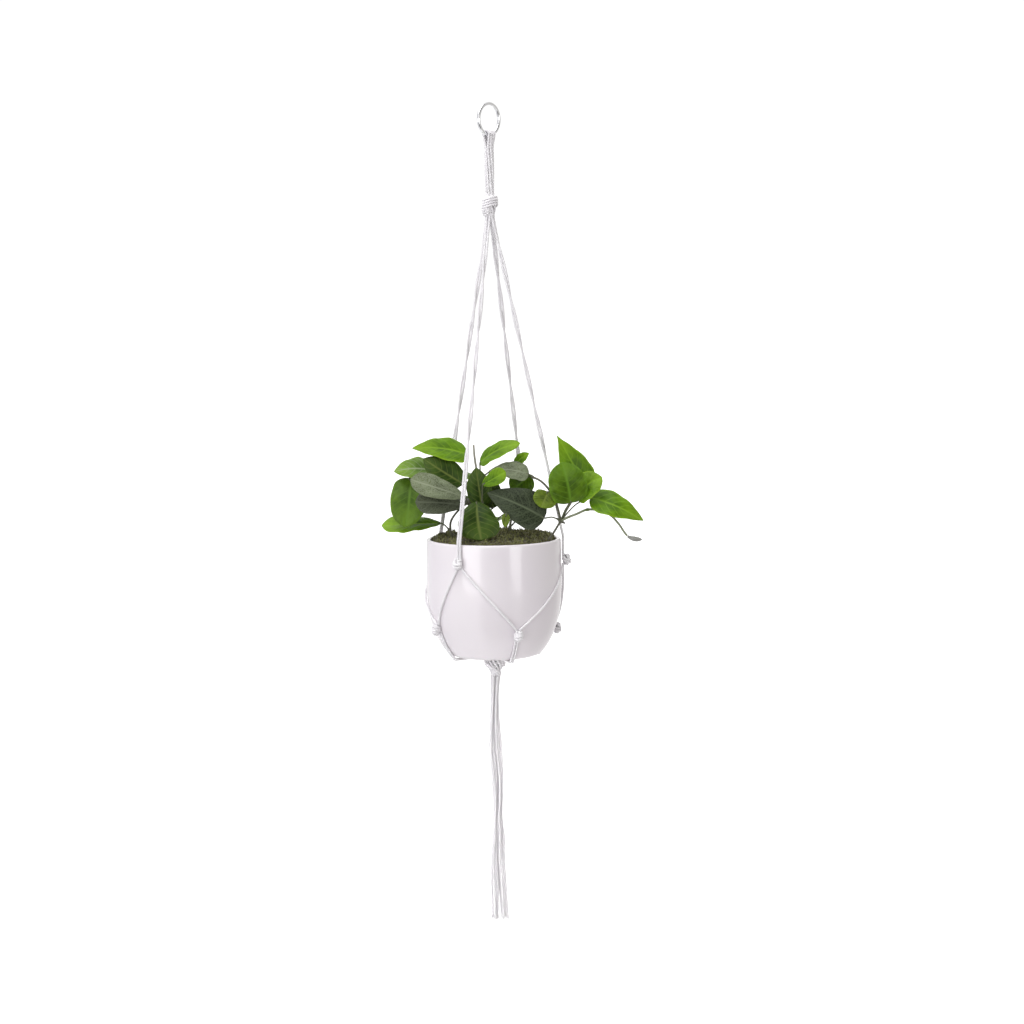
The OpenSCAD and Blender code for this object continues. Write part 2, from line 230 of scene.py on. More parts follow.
def rope(shape, points, radius=CORD_R, phase=0.0, step=ROPE_STEP, taper=None):
    """A laid cord through the points. Returns the path it follows."""
    path = curve(points, step)
    along = lengths(path)
    x, y = frames(path)
    sides = PLIES * len(PLY_RADIUS)
    a = np.arange(sides) * 2 * math.pi / sides + phase + along[:, None] * 2 * math.pi / ROPE_LAY
    r = radius * np.tile(PLY_RADIUS, PLIES)[None] * np.ones((len(path), 1))
    if taper is not None:
        r = r * taper(along / along[-1])[:, None]
    out = x[:, None] * np.cos(a)[..., None] + y[:, None] * np.sin(a)[..., None]
    # painted shade: each ply's tone falls to its darkest in the grooves between plies
    tones = np.tile(PLY_GROOVE_SHADE, PLIES * len(path))
    shape.rings(path[:, None] + r[..., None] * out, along / ROPE_LAY, tones)
    return path


def hanger_rope(node, shape, cord):
    """The drawn cord of one of the hanger's nodes."""
    piece(node + "_rope", shape, cord, "hanger", [node])


# ---- materials ----
def set_ramp(node, stops):
    """Stops are (position, (red, green, blue))."""
    elements = node.color_ramp.elements
    while len(elements) < len(stops):
        elements.new(0.5)
    for element, (position, colour) in zip(elements, stops):
        element.position, element.color = position, (*colour, 1)


class Finish:
    """A material's nodes, with short calls that add to them."""

    def __init__(self, name, **shader):
        self.material = bpy.data.materials.new(name)
        self.material.use_nodes = True
        self.tree = self.material.node_tree
        self.shader = self.tree.nodes["Principled BSDF"]
        for socket, value in shader.items():
            self.set(socket.replace("_", " "), value)

    def put(self, node, socket, value):
        if isinstance(value, bpy.types.NodeSocket):
            self.tree.links.new(value, node.inputs[socket])
        else:
            node.inputs[socket].default_value = value

    def set(self, socket, value):
        self.put(self.shader, socket, value)

    def add(self, kind, inputs=None, **settings):
        node = self.tree.nodes.new("ShaderNode" + kind)
        for key, value in settings.items():
            setattr(node, key, value)
        for socket, value in (inputs or {}).items():
            self.put(node, socket, value)
        return node

    def math(self, operation, a, b=0.0, clamp=False):
        return self.add("Math", {0: a, 1: b}, operation=operation, use_clamp=clamp).outputs[0]

    def tone(self):
        return self.add("Attribute", attribute_name="tone").outputs["Fac"]

    def place(self, kind="Object", scale=(1, 1, 1)):
        where = self.add("TexCoord").outputs[kind]
        return self.add("Mapping", {"Vector": where, "Scale": scale}).outputs[0]

    def noise(self, scale, where=None, detail=3.0, roughness=0.5):
        sizes = {"Scale": scale, "Detail": detail, "Roughness": roughness}
        return self.add("TexNoise", {"Vector": where or self.place(), **sizes}).outputs["Fac"]

    def ramp(self, factor, *stops):
        node = self.add("ValToRGB", {"Fac": factor})
        set_ramp(node, stops)
        return node.outputs["Color"]

    def between(self, factor, low, high, start=0.0, end=1.0):
        """A number that goes from low to high as the factor goes from start to end."""
        inputs = {"Value": factor, "From Min": start, "From Max": end, "To Min": low, "To Max": high}
        return self.add("MapRange", inputs).outputs["Result"]

    def blend(self, factor, a, b, kind="MIX"):
        node = self.add("Mix", {0: factor, 6: a, 7: b}, data_type="RGBA", blend_type=kind)
        return node.outputs[2]

    def colour(self, value):
        self.set("Base Color", value)

    def bump(self, height, strength, distance):
        inputs = {"Height": height, "Strength": strength, "Distance": distance}
        self.set("Normal", self.add("Bump", inputs).outputs["Normal"])


def cotton():
    f = Finish("cotton", Roughness=0.88, Sheen_Weight=0.15, Sheen_Roughness=0.5, Specular_IOR_Level=0.2)
    # the cord's colour by its tone is painted shade: darker in the grooves between the plies, lighter on
    # their crests
    groove, side, crest = (0.80, 0.78, 0.81), (0.925, 0.91, 0.93), (0.97, 0.962, 0.965)
    body = f.ramp(f.tone(), (0.0, groove), (0.5, side), (1.0, crest))
    soiling = f.ramp(f.noise(90, detail=4), (0.3, (0.94, 0.93, 0.945)), (0.7, (1, 1, 1)))
    f.colour(f.blend(1.0, body, soiling, "MULTIPLY"))
    fibres = f.noise(1.0, f.place("UV", (36, 5, 1)), detail=5, roughness=0.65)
    f.bump(fibres, 0.5, 0.25 * MM)
    return f.material


def chrome():
    f = Finish("chrome", Metallic=1.0)
    f.colour(f.ramp(f.noise(160), (0.2, (0.80, 0.81, 0.83)), (0.8, (0.88, 0.88, 0.89))))
    f.set("Roughness", f.between(f.noise(420, detail=5), 0.05, 0.13))
    scratches = f.noise(1.0, f.place("Object", (900, 900, 5000)), detail=2)
    f.bump(scratches, 0.04, 0.1 * MM)
    return f.material


def glaze():
    f = Finish("white_glaze", Coat_Weight=0.35, Coat_Roughness=0.04, Specular_IOR_Level=0.5)
    clouds = f.noise(14, detail=3)
    speck = f.noise(1900, detail=1)
    base = f.ramp(clouds, (0.3, (0.815, 0.765, 0.81)), (0.7, (0.845, 0.80, 0.83)))
    specks = f.ramp(speck, (0.80, (1, 1, 1)), (0.86, (0.80, 0.77, 0.72)))
    f.colour(f.blend(1.0, base, specks, "MULTIPLY"))
    f.set("Roughness", f.between(f.noise(60, detail=4), 0.10, 0.2))
    f.bump(f.noise(230, detail=2), 0.05, 0.2 * MM)
    return f.material


def bisque():
    f = Finish("bare_clay")
    f.colour(f.ramp(f.noise(700, detail=6), (0.3, (0.60, 0.56, 0.50)), (0.7, (0.72, 0.68, 0.61))))
    f.set("Roughness", f.between(f.noise(300), 0.75, 0.95))
    f.bump(f.noise(1600, detail=6), 0.4, 0.15 * MM)
    return f.material


def moss():
    f = Finish("moss", Sheen_Weight=0.15)
    green = f.ramp(f.tone(), (0.0, (0.030, 0.022, 0.012)), (0.4, (0.075, 0.066, 0.026)),
                   (0.7, (0.145, 0.15, 0.045)), (1.0, (0.24, 0.26, 0.09)))
    clumps = f.noise(55, detail=5, roughness=0.7)
    patches = f.ramp(clumps, (0.35, (0.55, 0.5, 0.42)), (0.62, (1.1, 1.1, 1.0)))
    f.colour(f.blend(1.0, green, patches, "MULTIPLY"))
    f.set("Roughness", f.between(f.noise(500), 0.8, 1.0))
    f.bump(f.noise(900, detail=6, roughness=0.7), 0.7, 0.5 * MM)
    return f.material


def bark(name, dark, pale, young):
    """Stems and twigs: streaks along their length, with tone going from old bark to young green."""
    f = Finish(name)
    streaks = f.noise(1.0, f.place("UV", (5, 160, 1)), detail=5, roughness=0.65)
    f.colour(f.blend(f.tone(), f.ramp(streaks, (0.3, dark), (0.75, pale)), (*young, 1)))
    f.set("Roughness", f.between(streaks, 0.5, 0.75))
    f.bump(streaks, 0.35, 0.25 * MM)
    return f.material


SIDE_VEINS = 7.0  # pairs of side veins along a leaf
VEIN_SLANT = 2.6  # how many of their spacings they run forward on the way to the edge


# each kind of leaf: the colours of its body, deep patches, edge (painted light through the leaf where
# lighter than the body), veins and underside, and its net
LEAF_COLOURS = {
    "bright": [(0.13, 0.265, 0.008), (0.065, 0.145, 0.005), (0.27, 0.44, 0.02),
               (0.20, 0.36, 0.02), (0.14, 0.26, 0.03)],
    "pale": [(0.15, 0.25, 0.05), (0.07, 0.14, 0.012), (0.25, 0.42, 0.02),
             (0.30, 0.36, 0.20), (0.14, 0.22, 0.05)],
    "fresh": [(0.10, 0.185, 0.016), (0.048, 0.10, 0.008), (0.14, 0.25, 0.018),
              (0.11, 0.21, 0.02), (0.09, 0.17, 0.03)],
    "rich": [(0.095, 0.18, 0.008), (0.042, 0.088, 0.004), (0.13, 0.27, 0.012),
             (0.12, 0.24, 0.02), (0.08, 0.14, 0.02)],
    "olive": [(0.13, 0.19, 0.018), (0.06, 0.095, 0.010), (0.20, 0.30, 0.025),
              (0.17, 0.22, 0.04), (0.10, 0.14, 0.03)],
    "silver": [(0.165, 0.205, 0.11), (0.062, 0.08, 0.038), (0.11, 0.135, 0.055),
               (0.29, 0.32, 0.22), (0.12, 0.14, 0.09), 0.75],
    "dusk": [(0.075, 0.088, 0.052), (0.03, 0.038, 0.02), (0.06, 0.074, 0.04),
             (0.17, 0.19, 0.13), (0.07, 0.08, 0.05), 0.6],
    "slate": [(0.030, 0.041, 0.020), (0.012, 0.018, 0.008), (0.045, 0.060, 0.032),
              (0.11, 0.135, 0.08), (0.04, 0.05, 0.03), 0.45],
    "deep": [(0.050, 0.095, 0.012), (0.020, 0.042, 0.006), (0.075, 0.125, 0.018),
             (0.135, 0.17, 0.04), (0.05, 0.07, 0.02)],
}


def leaf_finish(name, body, deep, edge, vein, under, net=0.0):
    """A leaf's colours: its body, deep patches, edge (painted light through the leaf where lighter than
    the body), veins and underside.

    net is how much of a fine net shows between the veins.
    """
    f = Finish("leaf_" + name, Specular_IOR_Level=0.13)
    where = f.add("SeparateXYZ", {0: f.place("UV")}).outputs
    off_rib = f.math("ABSOLUTE", f.math("SUBTRACT", f.math("MULTIPLY", where["Y"], 2.0), 1.0))
    vein_count = f.math("MULTIPLY", where["X"], SIDE_VEINS)
    phase = f.math("SUBTRACT", vein_count, f.math("MULTIPLY", off_rib, VEIN_SLANT))
    wobble = f.between(f.noise(1.0, f.place("UV", (9, 7, 1)), detail=2), -0.12, 0.12)
    saw = f.math("FRACT", f.math("ADD", phase, wobble))
    side_vein = f.between(f.math("ABSOLUTE", f.math("SUBTRACT", saw, 0.5)), 1.0, 0.0, 0.0, 0.10)
    rib = f.between(off_rib, 1.0, 0.0, 0.0, 0.07)
    cell_place = f.place("UV", (34, 22, 1))
    cells = f.add("TexVoronoi", {"Vector": cell_place, "Scale": 1.0}, feature="DISTANCE_TO_EDGE")
    mesh_vein = f.between(cells.outputs["Distance"], net, 0.0, 0.0, 0.17)
    lines = f.math("MAXIMUM", f.math("MAXIMUM", f.math("MULTIPLY", side_vein, 0.6), rib), mesh_vein, True)
    patches = f.noise(1.0, f.place("UV", (2.6, 3.2, 1)), detail=4, roughness=0.6)
    ground = f.ramp(patches, (0.38, deep), (0.60, body))
    # edge colour at the rim and towards the tip: where lighter than the body, painted light shining
    # through the leaf; where darker (silver, dusk), the leaf's own margin
    rim = f.between(off_rib, 0.0, 1.0, 0.62, 1.0)
    toward_tip = f.between(where["X"], 0.0, 0.55, 0.45, 1.0)
    ground = f.blend(f.math("MAXIMUM", rim, toward_tip, True), ground, (*edge, 1))
    upper = f.blend(lines, ground, (*vein, 1))
    f.colour(f.blend(f.tone(), upper, (*under, 1)))
    f.set("Roughness", f.between(patches, 0.30, 0.48))
    f.bump(f.math("MULTIPLY", lines, -1.0), 0.35, 0.25 * MM)
    return f.material


# ---- camera, world, lights and floor ----
LENS = 95.2
SENSOR = 36
VIEW_CENTRE = Vector((0.0207, 0, -0.4462))
VIEW_DISTANCE = 3.0
VIEW_DOWN = math.radians(6)
VIEW_ROLL = math.radians(-0.62)
FLOOR_Z = -1.35
FLOOR_HALF = 30


def aim(name, data, target, back, distance, roll):
    """Puts a camera or lamp at a distance from its target in the direction back, facing the target."""
    obj = add_object(name, data)
    obj.location = target + back * distance
    obj.rotation_mode = "QUATERNION"
    obj.rotation_quaternion = (-back).to_track_quat("-Z", "Y") @ Quaternion((0, 0, 1), roll)
    return obj


def make_camera():
    data = bpy.data.cameras.new("camera")
    data.lens = LENS
    data.sensor_width = SENSOR
    back = Vector((0, -math.cos(VIEW_DOWN), math.sin(VIEW_DOWN)))
    bpy.context.scene.camera = aim("camera", data, VIEW_CENTRE, back, VIEW_DISTANCE, VIEW_ROLL)


# brightness of the studio from its left wall to its right one, as (place, brightness)
WALLS = [(0.0, 0.78), (0.08, 0.62), (0.16, 0.92), (0.5, 1.16), (0.8, 0.86), (0.9, 0.60), (1.0, 0.62)]
LEFT_TINT, RIGHT_TINT = np.array([(0.99, 0.99, 1.02), (1.02, 1.0, 0.97)])
# dark cards that show in the chrome: a direction, and the cosines where a card is full and where it ends
CARDS = [((0.41, -0.51, 0.75), 0.90, 0.80), ((0.09, -0.89, -0.45), 0.92, 0.83)]


def make_world():
    """A white studio that lights the object a little less, and more warmly, from the right."""
    world = bpy.data.worlds.new("studio")
    bpy.context.scene.world = world
    world.use_nodes = True
    tree = world.node_tree
    tree.nodes.clear()
    link = tree.links.new

    def new(kind, **inputs):
        node = tree.nodes.new("ShaderNode" + kind)
        for socket, value in inputs.items():
            node.inputs[socket.replace("_", " ")].default_value = value
        return node

    def vector_math(operation, first):
        node = new("VectorMath")
        node.operation = operation
        link(first, node.inputs[0])
        return node

    where = new("TexCoord").outputs["Generated"]
    parts = new("SeparateXYZ")
    link(where, parts.inputs[0])
    sideways = new("MapRange", From_Min=-1)
    link(parts.outputs["X"], sideways.inputs["Value"])
    shade = new("ValToRGB")
    link(sideways.outputs["Result"], shade.inputs["Fac"])
    set_ramp(shade, [(place, value * mix(LEFT_TINT, RIGHT_TINT, place)) for place, value in WALLS])
    light = shade.outputs["Color"]
    for direction, full, end in CARDS:
        toward = vector_math("DOT_PRODUCT", where)
        toward.inputs[1].default_value = direction
        card = new("MapRange", From_Min=end, From_Max=full, To_Min=1.0, To_Max=0.03)
        link(toward.outputs["Value"], card.inputs["Value"])
        dimmed = vector_math("MULTIPLY", light)
        link(card.outputs["Result"], dimmed.inputs[1])
        light = dimmed.outputs["Vector"]
    seen = new("Background", Color=(1, 1, 1, 1), Strength=1.05)
    lit = new("Background")
    link(light, lit.inputs["Color"])
    both = new("MixShader")
    link(new("LightPath").outputs["Is Camera Ray"], both.inputs[0])
    link(lit.outputs[0], both.inputs[1])
    link(seen.outputs[0], both.inputs[2])
    link(both.outputs[0], new("OutputWorld").inputs["Surface"])


def softbox(name, az, elevation, distance, size, power, turn=0.0, height=RIM_Z - 40 * MM):
    """A rectangular lamp that faces a height on the object from an azimuth and elevation in degrees."""
    data = bpy.data.lights.new(name, "AREA")
    data.shape = "RECTANGLE"
    data.size, data.size_y = size
    data.energy = power
    e = math.radians(elevation)
    back = Vector(around(az, math.cos(e), math.sin(e)))
    return aim(name, data, Vector((0, 0, height)), back, distance, math.radians(turn))


def make_lights():
    softbox("key_left", -38, 3.5, 2.6, (1.5, 1.06), 13)
    softbox("window_right", 38, 3.5, 2.6, (0.9, 1.06), 8, turn=-9)
    softbox("overhead", -30, 70, 2.3, (2.2, 2.2), 32)
    # a narrow beam for the tail, which the pot shades, kept out of the glaze's reflections
    low = softbox("tail_front", -25, -4, 1.3, (0.3, 0.12), 0.09, height=TAIL_Z - 150 * MM)
    low.data.spread = math.radians(24)
    low.visible_glossy = False
    view = bpy.context.scene.view_settings
    view.view_transform = "Standard"


def make_floor():
    mesh = bpy.data.meshes.new("floor")
    corners = [(x * FLOOR_HALF, y * FLOOR_HALF, FLOOR_Z) for x, y in ((-1, -1), (1, -1), (1, 1), (-1, 1))]
    mesh.from_pydata(corners, [], [(0, 1, 2, 3)])
    f = Finish("floor", Roughness=0.9, Emission_Color=(1, 1, 1, 1), Emission_Strength=0.75)
    f.colour(f.ramp(f.noise(0.8), (0.3, (0.88, 0.88, 0.88)), (0.7, (0.90, 0.90, 0.90))))
    mesh.materials.append(f.material)
    floor = add_object("floor", mesh)
    floor.visible_diffuse = False
    floor.visible_glossy = False


# ---- the tail ----
# depths below the bottom knot at which each strand's place is given
TAIL_DEPTH = MM * np.array([0, 20, 45, 80, 110, 135, 160, 185, 210, 240, 272])
TAIL_Y = MM * np.array([-4.5, -4.5, -1.5, -1.5, 1.5, 1.5, 4.5, 4.5])
# the bunch's left and right strands at those depths, and each strand's place between them
TAIL_LEFT = MM * np.array([-3.5, -4, -5.5, -7, -4.5, -3, -3.5, -4.5, -6, -5.5, -6])
TAIL_RIGHT = MM * np.array([5, 3, 3, 5, 6.5, 6.5, 5.5, 7.5, 7, 9.5, 11.5])
TAIL_SHARE = [0.15, 0.7, 0.35, 1, 0, 0.55, 0.25, 0.85]
TAIL_WEAVE = 0.05  # how far a strand sways across the bunch, as a share of its width
TAIL_WEAVE_TURN = 3  # degrees of the weave for each millimetre of depth
STRAND_TURN = 70  # degrees of the weave from one strand to the next
FRAY_FIBRES = 16
FRAY_L = 9 * MM


def fray(end, down, seed):
    """A tuft of loose fibres at a cut end."""
    rng = np.random.default_rng(seed)
    shape = Shape()
    for k in range(FRAY_FIBRES):
        a = 2.4 * k
        out = np.array([math.cos(a), math.sin(a), 0])
        r = CORD_R * 0.85 * math.sqrt((k + 0.5) / FRAY_FIBRES)
        reach = FRAY_L * rng.uniform(0.55, 1.0)
        spread = rng.uniform(0.2, 1.1) * MM * (r / CORD_R + 0.3)
        start = end + out * r - down * 2 * MM
        bow = out * rng.uniform(-0.4, 0.5) * MM
        path = curve([start, start + down * reach * 0.45 + out * spread * 0.2 + bow,
                      start + down * reach + out * spread], 1.2 * MM)
        shape.tube(path, np.linspace(0.34, 0.10, len(path)) * MM, 5, 0.9)
    return shape


def make_tail(cord):
    for i in range(8):
        weave = np.sin(np.radians(STRAND_TURN * i + TAIL_WEAVE_TURN * TAIL_DEPTH / MM))
        x = mix(TAIL_LEFT, TAIL_RIGHT, TAIL_SHARE[i] + TAIL_WEAVE * weave)
        points = [np.array([a, TAIL_Y[i], TAIL_Z - d]) for a, d in zip(x, TAIL_DEPTH)]
        shape = Shape()
        path = rope(shape, points, phase=i)
        name = f"tail_strand_{i + 1}"
        strand = piece(name + "_rope", shape, cord, replaces=[name])
        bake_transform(strand)
        down = unit(path[-1] - path[-4])
        tuft = piece(f"tail_fray_{i + 1}", fray(path[-1], down, i), cord, "tail")


# ---- ring and neck ----
RING_YAW = math.radians(50)
RING_TUBE_R = 2 * MM
RING_R = 17 * MM
RING_Z = RING_TUBE_R - RING_R
LOOP_PITCH = 3.1 * MM
LOOP_R = RING_TUBE_R + 0.6 * MM + CORD_R
NECK_TOP = RING_Z - RING_R - 14 * MM
NECK_TWIST = 50
NECK_INTO_KNOT = 5 * MM


def ring_point(s, across, z):
    """A point in the ring's own frame: along the ring's plane, across it, and up."""
    c, d = math.cos(RING_YAW), math.sin(RING_YAW)
    return np.array([s * c - across * d, s * d + across * c, z])


def make_ring(metal):
    """A wire ring, with the slight step where its ends are welded together."""
    turns, sides = 192, 32
    a = np.linspace(0, 2 * math.pi, turns, endpoint=False)
    b = np.arange(sides) * 2 * math.pi / sides
    seam = 1 + 0.05 * np.exp(-((a - math.pi * 0.86) / 0.045) ** 2)
    r = RING_TUBE_R * seam
    s = (RING_R + r[:, None] * np.cos(b)) * np.cos(a)[:, None]
    z = RING_Z + (RING_R + r[:, None] * np.cos(b)) * np.sin(a)[:, None]
    across = r[:, None] * np.sin(b)
    points = np.moveaxis(ring_point(s, across, z), 0, -1)
    shape = Shape()
    rings = np.vstack([points, points[:1]])
    shape.rings(rings, np.linspace(0, 2 * math.pi * RING_R, turns + 1), 0.5, caps=False)
    ring = piece("ring_wire", shape, metal, replaces=["hang_ring"])
    weld(ring)
    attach(ring, "ring")


def weld(obj):
    """Joins vertices that lie on each other, where a skin meets its own start."""
    work = bmesh.new()
    work.from_mesh(obj.data)
    bmesh.ops.remove_doubles(work, verts=work.verts, dist=1e-6)
    work.to_mesh(obj.data)
    work.free()


def neck_point(slot, h):
    a = math.radians(slot + NECK_TWIST * (1 - h))
    return ring_point(BUNDLE_R * math.cos(a), BUNDLE_R * math.sin(a), mix(NECK_Z, NECK_TOP, h))


def make_neck(cord):
    shape = Shape()
    sink = np.array([0, 0, -NECK_INTO_KNOT])
    for i in range(4):
        s = (i - 1.5) * LOOP_PITCH
        wire_z = RING_Z - math.sqrt(RING_R**2 - s**2)
        slot = 3.5 * STRAND_STEP - i * STRAND_STEP
        over = [ring_point(s, LOOP_R * math.cos(a), wire_z + LOOP_R * math.sin(a))
                for a in np.radians(np.arange(0, 181, 30))]
        points = [neck_point(slot, 0) + sink, *[neck_point(slot, h / 5) for h in range(6)], *over,
                  *[neck_point(-slot, h / 5) for h in range(5, -1, -1)], neck_point(-slot, 0) + sink]
        rope(shape, points, phase=1.3 * i)
    neck = piece("neck_ropes", shape, cord, replaces=["neck_cords"])
    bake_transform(neck)


# ---- knots ----
TUCK = 0.16  # how much of a wrap's length is tucked under at each end
WRAP_POINTS = 22


def knot(shape, centre, profile, wraps, turn_az, turns=1.12, lean=0.0, high_az=0, core=6, core_twist=80):
    """A tight overhand knot: a core of strands, and a band of wraps that starts under its own top edge.

    profile lists the knot's outer radius by depth from its top. wraps lists the band's strands as layers,
    from the outside in. The band leans, and is highest at high_az.
    """
    depths, radii = np.array(profile).T
    height = depths[-1]
    edge = height / 2 - CORD_R * 0.7
    pitch = CORD_D * 0.94

    def outer(z):
        return float(np.interp(height / 2 - z, depths, radii)) - CORD_R

    for layer, count in enumerate(wraps):
        for k in range(count):
            rise = (k - (count - 1) / 2) * pitch
            room = max(height / 2 - CORD_R * 0.9 - (count - 1) / 2 * pitch - lean * 0.6, 0.0)
            points = []
            for t in np.linspace(-TUCK, 1 + TUCK, WRAP_POINTS):
                inside = max(0.0, -t, t - 1) / TUCK
                az = turn_az + 360 * turns * t
                z = rise + room * (1 - 2 * min(max(t, 0.0), 1.0))
                z = z + lean * math.cos(math.radians(az - high_az)) * (1 - inside)
                z = z + math.copysign(inside * (1 - inside) * 1.6 * CORD_R, 0.5 - t)
                z = float(np.clip(z * (1 - 0.45 * inside), -edge, edge))
                r = outer(z) - layer * CORD_D * 0.8
                points.append(centre + around(az, r * (1 - 0.75 * inside), z))
            rope(shape, points, phase=k * 1.7 + layer)
    for k in range(core):
        points = []
        for t in np.linspace(0, 1, 9):
            z = (0.5 - t) * height * 0.98
            r = max(outer(z) * (0.5 + 0.2 * math.sin(math.pi * t)), CORD_R * 0.7)
            points.append(centre + around(k * 360 / core + core_twist * t, r, z))
        rope(shape, points, phase=k * 2.1)


def round_profile(radius, height):
    """A knot's outline with soft shoulders."""
    shares = [(0, 0.72), (0.1, 0.88), (0.25, 0.98), (0.5, 1.0), (0.75, 0.98), (0.9, 0.88), (1, 0.72)]
    return [(height * t, radius * share) for t, share in shares]


def make_top_knot(cord):
    shape = Shape()
    centre = np.array([0, 0, (NECK_Z + LEGS_Z) / 2])
    profile = round_profile(top_knot_high.x * 1.03, NECK_Z - LEGS_Z)
    knot(shape, centre, profile, [4, 4], -75, lean=3.6 * MM, high_az=80, core=8, core_twist=110)
    hanger_rope("top_knot", shape, cord)


# the bottom knot's radius by depth: it narrows from the strands under the pot to the tail
BOTTOM_KNOT = MM * np.array([[0, 9.5], [3, 12], [7, 12.4], [12, 11.2], [17, 8.4], [22, 6.8]])


def make_bottom_knot(cord):
    """The strands gather and twist down into the tail, with a slanting turn of two of them round it."""
    shape = Shape()
    height = under_high.z - under_low.z
    centre = np.array([0, 0, (under_high.z + under_low.z) / 2])
    knot(shape, centre, BOTTOM_KNOT, [2], 75, turns=1.0, lean=4.2 * MM, high_az=255, core=0)
    depths, radii = BOTTOM_KNOT.T
    for layer, (count, inset) in enumerate([(11, 2.2 * MM), (7, 4.6 * MM)]):
        for k in range(count):
            points = []
            for t in np.linspace(0.0, 1.0, 10):
                r = max(float(np.interp(t * height, depths, radii)) - CORD_R - inset, 2.1 * MM)
                az = k * 360 / count + 95 * t * (1 if layer == 0 else -1)
                points.append(centre + around(az, r, (0.5 - t) * height * 0.98))
            rope(shape, points, phase=k * 2.1)
    hanger_rope("bottom_knot", shape, cord)


def make_small_knots(cord):
    for kind in ("mid", "lower"):
        for i in range(4):
            name = f"{kind}_knot_{i + 1}"
            low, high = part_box(name)
            centre = np.array((low + high) / 2)
            shape = Shape()
            profile = round_profile((high.x - low.x) / 2, high.z - low.z)
            start = 40 + 75 * i + (20 if kind == "mid" else 0)
            knot(shape, centre, profile, [2], start, turns=1.25, lean=1.3 * MM, high_az=start + 90,
                 core=3, core_twist=150)
            hanger_rope(name, shape, cord)


# ---- legs, net and under strands ----
FAN_Z = LEGS_Z - 30 * MM
FAN_R = 9 * MM
LEG_R = POT_R + POT_GAP + CORD_R
# how far apart the two strands of each leg stand among the leaves, and how much of that shows by height
LEG_PART = MM * np.array([0, 3.5, 0, 0])
PART_Z = MM * np.array([-455, -434, -418, -402, -385])
PART_SHARE = [0, 0.7, 1, 0.8, 0]
PAIR_TURNS = 2  # turns of a leg's two strands about each other, from its top down to PAIR_END
PAIR_END = -385 * MM


def leg_at(z):
    return mix(FAN_R, LEG_R, (z - FAN_Z) / (RIM_Z + 3 * MM - FAN_Z))


def leg_route(i, side):
    az = LEG_AZ[i]
    slot = LEG_SLOT_AZ + STRAND_STEP * (2 * i + (side + 1) / 2)
    points = [around(slot, BUNDLE_R, LEGS_Z + 3 * MM), around(slot, BUNDLE_R * 1.1, LEGS_Z - 4 * MM)]
    for z in np.linspace(FAN_Z, RIM_Z + 3 * MM, 44):
        turn = 2 * math.pi * PAIR_TURNS * max(0.0, (z - PAIR_END) / (FAN_Z - PAIR_END))
        apart = PAIR_HALF + LEG_PART[i] * np.interp(z, PART_Z, PART_SHARE)
        r = leg_at(z) + side * apart * math.sin(turn)
        points.append(around(az, r, z, side * apart * math.cos(turn)))
    for z in (RIM_Z - 3 * MM, MID_Z[i] + SMALL_KNOT_H / 2 - 1.5 * MM):
        points.append(around(az, LEG_R, z, side * PAIR_HALF))
    return points


def make_legs(cord):
    for i in range(4):
        shape = Shape()
        for side in (-1, 1):
            rope(shape, leg_route(i, side), phase=i + side)
        hanger_rope(f"leg_{i + 1}", shape, cord)


def pot_at(z):
    """The pot's outer radius: straight at the top and a squarish oval below its belly."""
    return POT_R if z >= BELLY_Z else POT_R * (1 - ((BELLY_Z - z) / BELLY_H) ** OVAL) ** (1 / OVAL)


def wall_normal(z):
    """The wall's outward direction, as its radius and height parts."""
    fall = max(0.0, BELLY_Z - z)
    return unit([pot_at(z) ** (OVAL - 1) / POT_R**OVAL, -(fall ** (OVAL - 1)) / BELLY_H**OVAL])


def on_pot(az, z, off, side=0.0):
    """A point standing off the pot's wall."""
    n = wall_normal(z)
    return around(az, pot_at(z) + off * n[0], z + off * n[1], side)


CORD_OFF = POT_GAP + CORD_R
NET_SIDE_AZ = 1.15  # how far to each side of its knot a net strand starts, in degrees
INTO_KNOT = 1.5 * MM  # how far a strand runs into the knot that ties it
# heights above the foot at which the strands are placed on their way down to it
ABOVE_FOOT = [16 * MM, 9 * MM, 4 * MM]
# radius, and depth below the foot, of the strands on their way in to the bottom knot
UNDER_FOOT = [(30 * MM, CORD_OFF), (15 * MM, 2.8 * MM), (8.5 * MM, 3.5 * MM)]


def make_net(cord):
    for j in range(8):
        i, turn = j // 2, 1 if j % 2 == 0 else -1
        k = i if turn > 0 else (i + 3) % 4
        start = LEG_AZ[i] + turn * NET_SIDE_AZ
        end = LOWER_AZ[k] - (360 if k > i else 0) - turn * NET_SIDE_AZ
        top = MID_Z[i] - SMALL_KNOT_H / 2 + INTO_KNOT
        low = LOWER_Z[k] + SMALL_KNOT_H / 2 - INTO_KNOT
        points = [on_pot(mix(start, end, t), mix(top, low, t), CORD_OFF) for t in np.linspace(0, 1, 11)]
        shape = Shape()
        rope(shape, points, phase=j)
        hanger_rope(f"net_strand_{j + 1}", shape, cord)


def make_under_strands(cord):
    n = wall_normal(FOOT_Z)
    foot_turn = math.degrees(math.atan2(-n[1], n[0]))
    for i, az in enumerate(LOWER_AZ):
        shape = Shape()
        for side in (-PAIR_HALF, PAIR_HALF):
            down = [LOWER_Z[i] - SMALL_KNOT_H / 2 + INTO_KNOT, *(FOOT_Z + h for h in ABOVE_FOOT)]
            points = [on_pot(az, z, CORD_OFF, side) for z in down]
            for t in range(4):
                a = math.radians(mix(foot_turn, 90, t / 3))
                out, drop = CORD_OFF * math.cos(a), CORD_OFF * math.sin(a)
                points.append(around(az, FOOT_R + out, FOOT_Z - drop, side))
            points += [around(az, r, FOOT_Z - drop, side) for r, drop in UNDER_FOOT]
            rope(shape, points, phase=i + side)
        hanger_rope(f"under_strands_{i + 1}", shape, cord)


